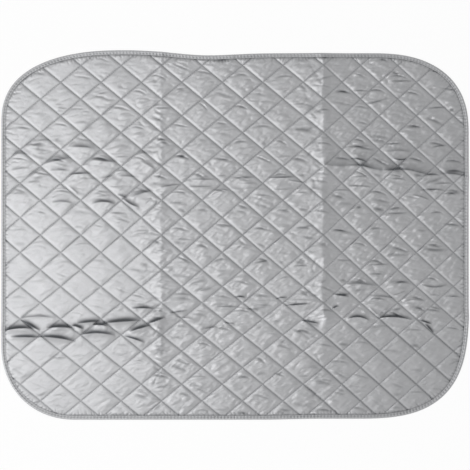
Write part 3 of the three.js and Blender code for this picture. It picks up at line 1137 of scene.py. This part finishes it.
@dataclass(frozen=True)
class PlainWovenBacking(Finish):
    """Plain-woven polyester and cotton: matt and pale, with warp and weft that cross, and a few slubs."""

    sheen: float = 0.1
    deep_colour: str = "C6C5C0"
    thread_spacing: float = 1.2 * MM
    thread_relief: Pair = (0.35, 0.15 * MM)
    slub: float = 14 * MM

    def dress(self, tree: Tree, place: Socket) -> tuple[Socket, Reliefs]:
        """Add slubs, and the warp and weft with their relief.

        Args:
            tree: The material's node tree.
            place: Where on the piece the patterns are laid.

        Returns:
            The colour, and the patterns with their relief.
        """
        # Real threads lie about 0.4 mm apart; they are drawn coarser so that they show.
        weave = {"Vector": place, "Scale": 1 / (math.pi * self.thread_spacing), **self.THREADED}
        warp, weft = (
            add_node(tree, "ShaderNodeTexWave", weave, bands_direction=axis).outputs["Fac"] for axis in "XY"
        )
        crossing = add_node(tree, "ShaderNodeMath", {0: warp, 1: weft}, operation="MULTIPLY").outputs[0]
        shades = {0: crossing, 6: linear(self.deep_colour), 7: linear(self.colour)}
        woven = add_node(tree, "ShaderNodeMix", shades, data_type="RGBA").outputs[2]
        patches = {"Vector": place, "Scale": 1 / self.slub, **self.CLOUDY}
        slubs = add_node(tree, "ShaderNodeTexNoise", patches).outputs["Fac"]
        spun = {0: slubs, 6: woven, 7: linear(self.colour)}
        colour = add_node(tree, "ShaderNodeMix", spun, data_type="RGBA").outputs[2]
        return colour, [(warp, *self.thread_relief), (weft, *self.thread_relief)]


@dataclass(frozen=True)
class TwistedThread(Finish):
    """Spun polyester sewing thread: grey with a slight lustre, and darker between its twisted plies."""

    sheen: float = 0.2
    deep_colour: str = "7E8084"
    twist: float = 0.9 * MM
    twist_relief: Pair = (0.4, 0.1 * MM)

    def dress(self, tree: Tree, place: Socket) -> tuple[Socket, Reliefs]:
        """Add the plies with their relief; they run slantwise across both families of seams.

        Args:
            tree: The material's node tree.
            place: Where on the piece the patterns are laid.

        Returns:
            The colour, and the patterns with their relief.
        """
        twisted = {"Vector": place, "Scale": 1 / (math.pi * self.twist), **self.THREADED}
        plies = add_node(tree, "ShaderNodeTexWave", twisted, bands_direction="X").outputs["Fac"]
        # The darker colour between the plies is painted shade in their grooves.
        shades = {0: plies, 6: linear(self.deep_colour), 7: linear(self.colour)}
        colour = add_node(tree, "ShaderNodeMix", shades, data_type="RGBA").outputs[2]
        return colour, [(plies, *self.twist_relief)]


@dataclass
class Layer:
    """What all the pad's layers share: they follow the plan."""

    plan: PadPlan
    finish: Material

    # Each length's bodies, the crease between them, and how far the bend reaches before and after it, more
    # on the third that moves. The table is read, but nothing bends.
    FOLDS = {
        Side.LEFT: ("left_panel", "centre_panel", "left_crease", 16 * MM, 9 * MM),
        Side.RIGHT: ("centre_panel", "right_panel", "right_crease", 14 * MM, 24 * MM),
    }

    def hang(self, piece: Piece, side: Side) -> None:
        """Bake a piece's place into its mesh and log its faces; it does not bend.

        Args:
            piece: The piece, with its mesh finished.
            side: The length of the layer that it is.
        """
        first, second, crease, before, after = self.FOLDS[side]
        x = getattr(self.plan, crease)
        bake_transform(piece)
        LOG.info("%s: %d faces", piece.name, len(piece.data.polygons))

    def stand_for(self, piece: Piece, side: Side, layer: str) -> None:
        """Hide the CAD layer that a piece stands for; the left length stands for the centre third as well.

        Args:
            piece: Not used.
            side: The length of the layer that it is.
            layer: The CAD layer's name.
        """
        nodes = [f"{side.value}_{layer}"]
        if side is Side.LEFT:
            nodes.append(f"centre_{layer}")
        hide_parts(*nodes)

    def stand_for_edge(self, piece: Piece, side: Side, layer: str) -> None:
        """Hide the CAD edge that a piece stands for, with the centre third's far or near length."""
        end = "far" if side is Side.LEFT else "near"
        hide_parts(f"{side.value}_{layer}", f"centre_{end}_{layer}")

    def object_from(self, bm: Net, name: str) -> Piece:
        """Make an object from a mesh in the making, which is freed.

        Args:
            bm: The mesh.
            name: The object's name.

        Returns:
            The object, in the scene.
        """
        mesh = bpy.data.meshes.new(name)
        bm.to_mesh(mesh)
        bm.free()
        return piece_from(mesh, name, self.finish)


@dataclass
class NetLayer(Layer):
    """A layer that is a net along the seams, with some steps between two seams, out to near the edge."""

    per_diamond: int = 10
    edge: float = 2.5 * MM

    # The lattice numbers in the middle of each quarter of the pad.
    QUARTERS = {
        (Side.LEFT, End.FAR): (0, -6),
        (Side.LEFT, End.NEAR): (-6, 0),
        (Side.RIGHT, End.FAR): (6, 0),
        (Side.RIGHT, End.NEAR): (0, 6),
    }

    def numbers_of(self, flat: Array) -> Array:
        """Give the exact lattice numbers of a flat net's points."""
        return self.plan.crowd(np.round(flat * self.per_diamond) / self.per_diamond)

    def lattice(self, side: Side, end: End | None = None) -> Net:
        """Make a flat net along the seams, in lattice numbers, cut to the pad and to one side.

        Args:
            side: The length of the layer to keep.
            end: The end of that length to keep, or None for all of it.

        Returns:
            The net; a vertex's x and y are its lattice numbers.
        """
        reach, middle = self.plan.lattice_reach, (0, 0)
        if end is not None:
            reach, middle = reach // 2 + 1, self.QUARTERS[side, end]
        steps = 2 * reach * self.per_diamond
        bm = bmesh.new()
        bmesh.ops.create_grid(bm, x_segments=steps, y_segments=steps, size=reach)
        bmesh.ops.translate(bm, verts=bm.verts[:], vec=(*middle, 0))
        numbers = self.numbers_of(np.array([v.co[:2] for v in bm.verts]))
        inside = self.plan.depth(*self.plan.place(*numbers.T)) > self.edge
        corners = np.array([[v.index for v in f.verts] for f in bm.faces])
        cell = np.floor(numbers[corners].mean(axis=1))
        kept = inside[corners].all(axis=1) & ((cell.sum(axis=1) + 1 <= 0) == (side is Side.LEFT))
        if end is not None:
            kept &= (cell[:, 0] >= cell[:, 1]) == (end is End.FAR)
        spare = [face for face, keep in zip(bm.faces, kept) if not keep]
        bmesh.ops.delete(bm, geom=spare, context="FACES")
        return bm

    def lay_out(self, piece: Piece, height: Callable[[Array, Array], Array]) -> Array:
        """Lay a flat net out on the pad and raise it.

        Args:
            piece: The object whose vertices are still lattice numbers.
            height: The layer's height at lattice numbers.

        Returns:
            The two lattice numbers of all vertices.
        """
        numbers = self.numbers_of(vertex_places(piece)[:, :2]).T
        places = np.stack([*self.plan.place(*numbers), height(*numbers)], axis=1)
        piece.data.vertices.foreach_set("co", places.ravel())
        piece.data.update()
        return numbers


@dataclass
class ClothSheet(NetLayer):
    """A cloth that lies stretched on the felt, with the length, width and area that it is cut to."""

    cut_width: float = 552 * MM

    CUTS = {Side.LEFT: (377 * MM, 0.202), Side.RIGHT: (323 * MM, 0.172)}

    def stretch(self, piece: Piece, side: Side) -> None:
        """Bake a length of the cloth's place into its mesh; its cut is looked up but not used.

        Args:
            piece: The piece, with its mesh finished.
            side: The length of the layer that it is.
        """
        length, area = self.CUTS[side]
        self.hang(piece, side)


@dataclass
class QuiltedTop(ClothSheet):
    """The coated top cover: puffs between the quilting seams, with pressed-in wrinkles.

    The cover is cut to the pad, in a left and a right length, each with a far and a near end.
    """

    per_diamond: int = 38
    cut_width: float = 276 * MM

    def build(self, side: Side, end: End) -> None:
        """Make one quarter of the cover.

        Args:
            side: The length that it belongs to.
            end: The end of that length.
        """
        piece = self.object_from(self.lattice(side, end), f"{side.value}_{end.value}_quilted_top")
        numbers = self.lay_out(piece, self.plan.top)
        keep_values(piece, "coating_wear", self.plan.shade_and_wear(*numbers))
        if end is End.FAR:
            self.stand_for(piece, side, "top_cover")
        self.stretch(piece, side)


@dataclass
class ClothBack(ClothSheet):
    """The plain woven back, drawn up a little along the seams."""

    def build(self, side: Side) -> None:
        """Make one length of the back.

        Args:
            side: The length to make.
        """
        bm = self.lattice(side)
        bmesh.ops.reverse_faces(bm, faces=bm.faces[:])
        piece = self.object_from(bm, f"{side.value}_cloth_back")
        self.lay_out(piece, self.plan.back)
        self.stand_for(piece, side, "back_cover")
        self.stretch(piece, side)


@dataclass
class FeltWadding(NetLayer):
    """The needled felt inside, which fills the puffs."""

    per_diamond: int = 8
    edge: float = 4 * MM
    under_cover: float = 0.9 * MM
    over_back: float = 0.5 * MM
    thinnest: float = 0.3 * MM
    fill: float = 0.45

    def build(self, side: Side) -> None:
        """Make one length of the felt.

        Args:
            side: The length to make.
        """
        bm = self.lattice(side)
        raised = bmesh.ops.extrude_face_region(bm, geom=bm.faces[:])
        upper = [part for part in raised["geom"] if isinstance(part, bmesh.types.BMVert)]
        bmesh.ops.translate(bm, verts=upper, vec=(0, 0, 1))
        bmesh.ops.recalc_face_normals(bm, faces=bm.faces[:])
        # Extruding makes the faces at the edge in another order each run, so all are put in order of place.
        in_order = sorted(bm.faces, key=lambda face: tuple(face.calc_center_median()))
        for rank, face in enumerate(in_order):
            face.index = rank
        bm.faces.sort()
        piece = self.object_from(bm, f"{side.value}_felt_wadding")
        is_upper = vertex_places(piece)[:, 2] > 0.5

        def height(a: Array, b: Array) -> Array:
            """Give the felt's upper or lower height.

            Args:
                a: Places across the falling seams.
                b: Places across the rising seams.

            Returns:
                The heights over the table.
            """
            upper_face = self.plan.felt(a, b) - self.under_cover
            lower_face = self.plan.back(a, b) + self.over_back
            return np.where(is_upper, np.maximum(upper_face, lower_face + self.thinnest), lower_face)

        self.lay_out(piece, height)
        self.stand_for(piece, side, "wadding")
        self.hang(piece, side)


@dataclass
class BindingTape(Layer):
    """The tape that is folded over the edge and sewn through, with a pucker at each stitch."""

    stitch_spacing: float = 5 * MM
    steps_per_stitch: int = 4
    stitch_inset: float = 4.3 * MM
    pucker: float = 0.6 * MM
    dent_width: float = 1.0 * MM
    dent_swing: Pair = (0.6, 0.4)
    roll_inset: float = 2.2 * MM
    roll_width: float = 1.2 * MM
    roll_share: float = 0.5
    roll_lag: float = 0.6
    # The tape is painted darker in the dent at each stitch, as painted shade.
    shade_width: float = 1.3 * MM
    shade_share: float = 0.28
    unevenness: float = 17 * MM
    grip_swing: Pair = (0.75, 0.25)
    top_from: float = 2.5 * MM
    # Round the folded tape, from under its top lip: the distance inside the edge and the height, in mm.
    section: tuple[Pair, ...] = (
        (3.6, 2.4), (6.2, 2.4), (6.4, 2.7), (6.1, 3.1), (5.4, 3.3), (4.8, 3.35), (4.3, 3.4), (3.7, 3.6),
        (2.9, 3.85), (2.0, 3.85), (1.1, 3.5), (0.4, 2.8), (0.0, 1.9), (0.2, 1.1), (0.8, 0.45), (1.8, 0.1),
        (3.2, 0.02), (4.6, 0.02), (6.0, 0.05), (6.4, 0.3), (6.1, 0.55), (3.6, 0.6),
    )

    def build(self, side: Side) -> None:
        """Make one length of the tape.

        Args:
            side: The length to make.
        """
        points, inward, walked = self.plan.edge_walk(side, self.stitch_spacing / self.steps_per_stitch)
        profile = np.array(self.section + self.section[:1]) * MM
        last = (len(points) - 1, len(profile) - 1)
        bm = bmesh.new()
        bmesh.ops.create_grid(bm, x_segments=last[0], y_segments=last[1], size=0.5)
        station, turn = np.round((np.array([v.co[:2] for v in bm.verts]) + 0.5) * last).astype(int).T
        piece = self.object_from(bm, f"{side.value}_binding_tape")
        inset, height = profile[turn].T
        place = points[station] + inward[station] * inset[:, None]
        phase = 2 * math.pi * walked[station] / self.stitch_spacing
        slow = walked[station] / self.unevenness
        mean, swing = self.grip_swing
        grip = mean + swing * np.sin(slow) * np.sin(0.37 * slow + 1)
        mean, swing = self.dent_swing
        dent = bell(inset, self.stitch_inset, self.dent_width) * (mean + swing * np.cos(phase))
        roll = self.roll_share * bell(inset, self.roll_inset, self.roll_width)
        roll = roll * np.cos(phase + self.roll_lag)
        on_top = height > self.top_from
        height = height - self.pucker * grip * (dent + roll) * on_top
        height = height + self.plan.lift(*place.T)
        piece.data.vertices.foreach_set("co", np.column_stack([place, height]).ravel())
        weave = np.column_stack([walked[station], lengths_along(profile)[turn], np.zeros(len(turn))])
        keep_values(piece, "tape_weave", weave)
        # Darker in the dent at each stitch: painted shade, strongest where the tape puckers deepest.
        shade_strength = self.shade_share + self.shade_share * np.cos(phase)
        shade_strength = bell(inset, self.stitch_inset, self.shade_width) * shade_strength * grip * on_top
        keep_values(piece, "coating_wear", shade_strength)
        self.close(piece)
        self.stand_for_edge(piece, side, "binding")
        self.hang(piece, side)

    def close(self, piece: Piece) -> None:
        """Join the tape's section and close its two ends.

        Args:
            piece: The tape, with its section still open.
        """
        bm = bmesh.new()
        bm.from_mesh(piece.data)
        bmesh.ops.remove_doubles(bm, verts=bm.verts[:], dist=0.001 * MM)
        bmesh.ops.holes_fill(bm, edges=[edge for edge in bm.edges if edge.is_boundary], sides=0)
        bmesh.ops.recalc_face_normals(bm, faces=bm.faces[:])
        bm.to_mesh(piece.data)
        bm.free()


@dataclass
class Stitches(Layer):
    """Rows of single stitches, each a short arched length of thread that is thinner where it goes in.

    Each kind of stitches has a name, and its own methods for their ends and for what they stand for.
    """

    NAME = ""

    thread: float = 0.3 * MM
    arch: float = 0.16 * MM
    rise: float = 0.28
    sunk: float = 0.8
    girths: tuple[float, float, float, float] = (0.55, 1.0, 1.0, 0.55)

    def build(self, side: Side, face: Face) -> None:
        """Make the stitches of one length of the pad, on one of its faces.

        Args:
            side: The length of the pad.
            face: The face on which they show.
        """
        name = f"{side.value}_{self.NAME}_{face.name.lower()}"
        piece = piece_from(self.sewn(name, *self.ends(side, face), face.value), name, self.finish)
        if face is Face.TOP:
            self.replace(piece, side)
        self.hang(piece, side)

    def sewn(self, name: str, starts: Array, ends: Array, outward: int) -> bpy.types.Mesh:
        """Make one mesh of stitches.

        Args:
            name: The mesh's name.
            starts: Where the stitches come out of the cloth.
            ends: Where they go back in.
            outward: 1 for stitches that arch up, -1 for ones on the back.

        Returns:
            The mesh.
        """
        curve = bpy.data.curves.new(name, "CURVE")
        curve.dimensions = "3D"
        curve.bevel_depth = self.thread
        curve.bevel_resolution = 0
        curve.use_fill_caps = True
        arch = np.array([0, 0, outward * self.arch])
        sink = np.array([0, 0, -outward * self.sunk * self.thread])
        near, far = 1 - self.rise, self.rise
        for start, end in zip(starts, ends):
            spline = curve.splines.new("POLY")
            spline.points.add(3)
            tops = (start * near + end * far + arch, start * far + end * near + arch)
            way = (start + sink, *tops, end + sink)
            for point, place, girth in zip(spline.points, way, self.girths):
                point.co = (*place, 1.0)
                point.radius = girth
        drawn = bpy.data.objects.new(name + "_line", curve)
        bpy.context.collection.objects.link(drawn)
        ready = drawn.evaluated_get(bpy.context.evaluated_depsgraph_get())
        mesh = bpy.data.meshes.new_from_object(ready)
        bpy.data.objects.remove(drawn)
        bpy.data.curves.remove(curve)
        mesh.name = name
        return mesh


@dataclass
class QuiltingStitches(Stitches):
    """The stitches of the two families of quilting seams."""

    spacing: float = 3.6 * MM
    stitch: float = 3.1 * MM
    clear_of_edge: float = 1.5 * MM

    NAME = "quilting_stitches"

    def replace(self, piece: Piece, side: Side) -> None:
        """Hide the CAD thread that the stitches stand for."""
        self.stand_for(piece, side, "quilting_thread")

    def ends(self, side: Side, face: Face) -> tuple[Array, Array]:
        """Find where the stitches start and end.

        Args:
            side: The length of the pad.
            face: The face on which they show.

        Returns:
            The starts and the ends.
        """
        plan = self.plan
        reach = plan.lattice_reach
        pitch = self.spacing / plan.seam_pitch
        walk, seam = np.meshgrid(np.arange(-reach, reach, pitch), np.arange(-reach, reach + 1))
        walk, seam = walk.ravel(), seam.ravel()
        first = np.concatenate([np.stack([walk, seam], axis=1), np.stack([seam, walk], axis=1)])
        step = np.array([pitch * (self.stitch / self.spacing), 0])
        last = first + np.repeat([step, step[::-1]], len(walk), axis=0)
        middle = (first + last) / 2
        kept = plan.depth(*plan.place(*middle.T)) > plan.binding_width + self.clear_of_edge
        kept &= (middle.sum(axis=1) <= 0) == (side is Side.LEFT)
        return self.on_face(first[kept], face), self.on_face(last[kept], face)

    def on_face(self, numbers: Array, face: Face) -> Array:
        """Put lattice numbers on the surface of one face.

        Args:
            numbers: The lattice numbers, one row each.
            face: The face.

        Returns:
            The places.
        """
        x, y = self.plan.place(*numbers.T)
        level = self.plan.seam_level if face is Face.TOP else self.plan.back_puff
        return np.column_stack([x, y, level + self.plan.lift(x, y)])


@dataclass
class BindingStitches(Stitches):
    """The row of stitches that holds the tape, on both faces."""

    spacing: float = 5 * MM
    stitch: float = 3.6 * MM
    inset: float = 4.3 * MM
    top_level: float = 3.0 * MM
    back_level: float = 0.4 * MM

    NAME = "binding_stitches"

    def replace(self, piece: Piece, side: Side) -> None:
        """Hide the CAD thread that the stitches stand for."""
        self.stand_for_edge(piece, side, "binding_thread")

    def ends(self, side: Side, face: Face) -> tuple[Array, Array]:
        """Find where the stitches start and end.

        Args:
            side: The length of the tape.
            face: The face on which they show.

        Returns:
            The starts and the ends.
        """
        points, inward, _ = self.plan.edge_walk(side, self.spacing)
        line = points + inward * self.inset
        middles = (line[:-1] + line[1:]) / 2
        half = (line[1:] - line[:-1]) / 2 * self.stitch / self.spacing
        level = self.top_level if face is Face.TOP else self.back_level
        height = level + self.plan.lift(*middles.T)
        return np.column_stack([middles - half, height]), np.column_stack([middles + half, height])


@dataclass(frozen=True)
class SoftBox:
    """A soft box: where it hangs, the two sides of its face and its power in watts."""

    name: str
    place: tuple[float, float, float]
    size: Pair
    power: float

    def hang(self) -> None:
        """Hang the soft box, aimed at the pad."""
        data = bpy.data.lights.new(self.name, "AREA")
        data.shape = "RECTANGLE"
        data.size, data.size_y = self.size
        data.energy = self.power
        lamp = bpy.data.objects.new(self.name, data)
        lamp.location = self.place
        lamp.rotation_euler = (-Vector(self.place)).to_track_quat("-Z", "Y").to_euler()
        bpy.context.collection.objects.link(lamp)


@dataclass
class Studio:
    """The camera over the pad, the soft lights and the pale floor."""

    lens: float = 85.0
    sensor: float = 36.0
    seen_width: float = 703 * MM
    aim: tuple[float, float, float] = (0.0, -0.75 * MM, 4 * MM)
    lamps: tuple[SoftBox, ...] = (
        SoftBox("key", (-2.7, -1.1, 2.3), (2.2, 2.2), 49.0),
        SoftBox("overhead", (-0.62, 0.0, 1.5), (1.2, 0.25), 5.7),
    )
    surroundings: float = 0.52
    floor_colour: str = "F2F2F2"
    floor_level: float = -0.2 * MM
    floor_white: float = 0.93
    floor_reach: float = 12.0
    wall_height: float = 8.0
    wall_segments: int = 64

    def build(self) -> None:
        """Set the camera, lights, floor and surroundings."""
        scene = bpy.context.scene
        scene.view_settings.view_transform = "Standard"
        camera_data = bpy.data.cameras.new("camera")
        camera_data.lens = self.lens
        camera_data.sensor_width = self.sensor
        camera = bpy.data.objects.new("camera", camera_data)
        distance = self.seen_width * self.lens / self.sensor
        camera.location = Vector(self.aim) + Vector((0, 0, distance))
        bpy.context.collection.objects.link(camera)
        scene.camera = camera
        for lamp in self.lamps:
            lamp.hang()
        world = bpy.data.worlds.new("studio")
        world.use_nodes = True
        sky = world.node_tree.nodes["Background"].inputs
        sky["Strength"].default_value = self.surroundings
        sky["Color"].default_value = (1, 1, 1, 1)
        scene.world = world
        self.floor()

    def floor(self) -> None:
        """Lay the floor, which is white to the camera and keeps the pad's shadow, with a far wall."""
        bm = bmesh.new()
        bmesh.ops.create_grid(bm, x_segments=1, y_segments=1, size=self.floor_reach)
        wall = {"radius1": self.floor_reach, "radius2": self.floor_reach, "depth": self.wall_height}
        raised = Matrix.Translation((0, 0, self.wall_height / 2))
        bmesh.ops.create_cone(bm, cap_ends=False, segments=self.wall_segments, matrix=raised, **wall)
        mesh = bpy.data.meshes.new("floor")
        bm.to_mesh(mesh)
        bm.free()
        material = bpy.data.materials.new("pale_studio_floor")
        material.use_nodes = True
        tree = material.node_tree
        tree.nodes.clear()
        paint = add_node(tree, "ShaderNodeBsdfDiffuse", {"Color": linear(self.floor_colour)})
        glow = add_node(tree, "ShaderNodeEmission", {"Strength": 1.0})
        path = add_node(tree, "ShaderNodeLightPath").outputs
        seen = path["Is Camera Ray"]
        for ray in ("Is Glossy Ray", "Is Transmission Ray"):
            seen = add_node(tree, "ShaderNodeMath", {0: seen, 1: path[ray]}, operation="MAXIMUM").outputs[0]
        share = add_node(tree, "ShaderNodeMath", {0: seen, 1: self.floor_white}, operation="MULTIPLY")
        parts = dict(enumerate(node.outputs[0] for node in (share, paint, glow)))
        mixed = add_node(tree, "ShaderNodeMixShader", parts)
        add_node(tree, "ShaderNodeOutputMaterial", {"Surface": mixed.outputs[0]})
        mesh.materials.append(material)
        piece = bpy.data.objects.new("floor", mesh)
        piece.location.z = self.floor_level
        bpy.context.collection.objects.link(piece)


def main() -> None:
    """Build the studio and the pad's layers."""
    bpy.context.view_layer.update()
    Studio().build()
    plan = PadPlan()
    cloth = SilverCoatedCloth("silver_coated_cloth", "CACACC", 0.5).make()
    woven = {"grain": 2 * MM, "laid_along": "tape_weave"}
    tape = SilverCoatedCloth("silver_coated_binding_tape", "C4C4C6", 0.55, **woven).make()
    felt = NeedledFelt("needled_polyester_felt", "E8E6E0", 0.95).make()
    backing = PlainWovenBacking("plain_woven_backing", "DFDEDA", 0.85).make()
    thread = TwistedThread("spun_polyester_thread", "B0B2B5", 0.55).make()
    for side in Side:
        FeltWadding(plan, felt).build(side)
        for end in End:
            QuiltedTop(plan, cloth).build(side, end)
        ClothBack(plan, backing).build(side)
        BindingTape(plan, tape).build(side)
        for face in Face:
            BindingStitches(plan, thread).build(side, face)
            QuiltingStitches(plan, thread).build(side, face)


if __name__ == "__main__":
    main()
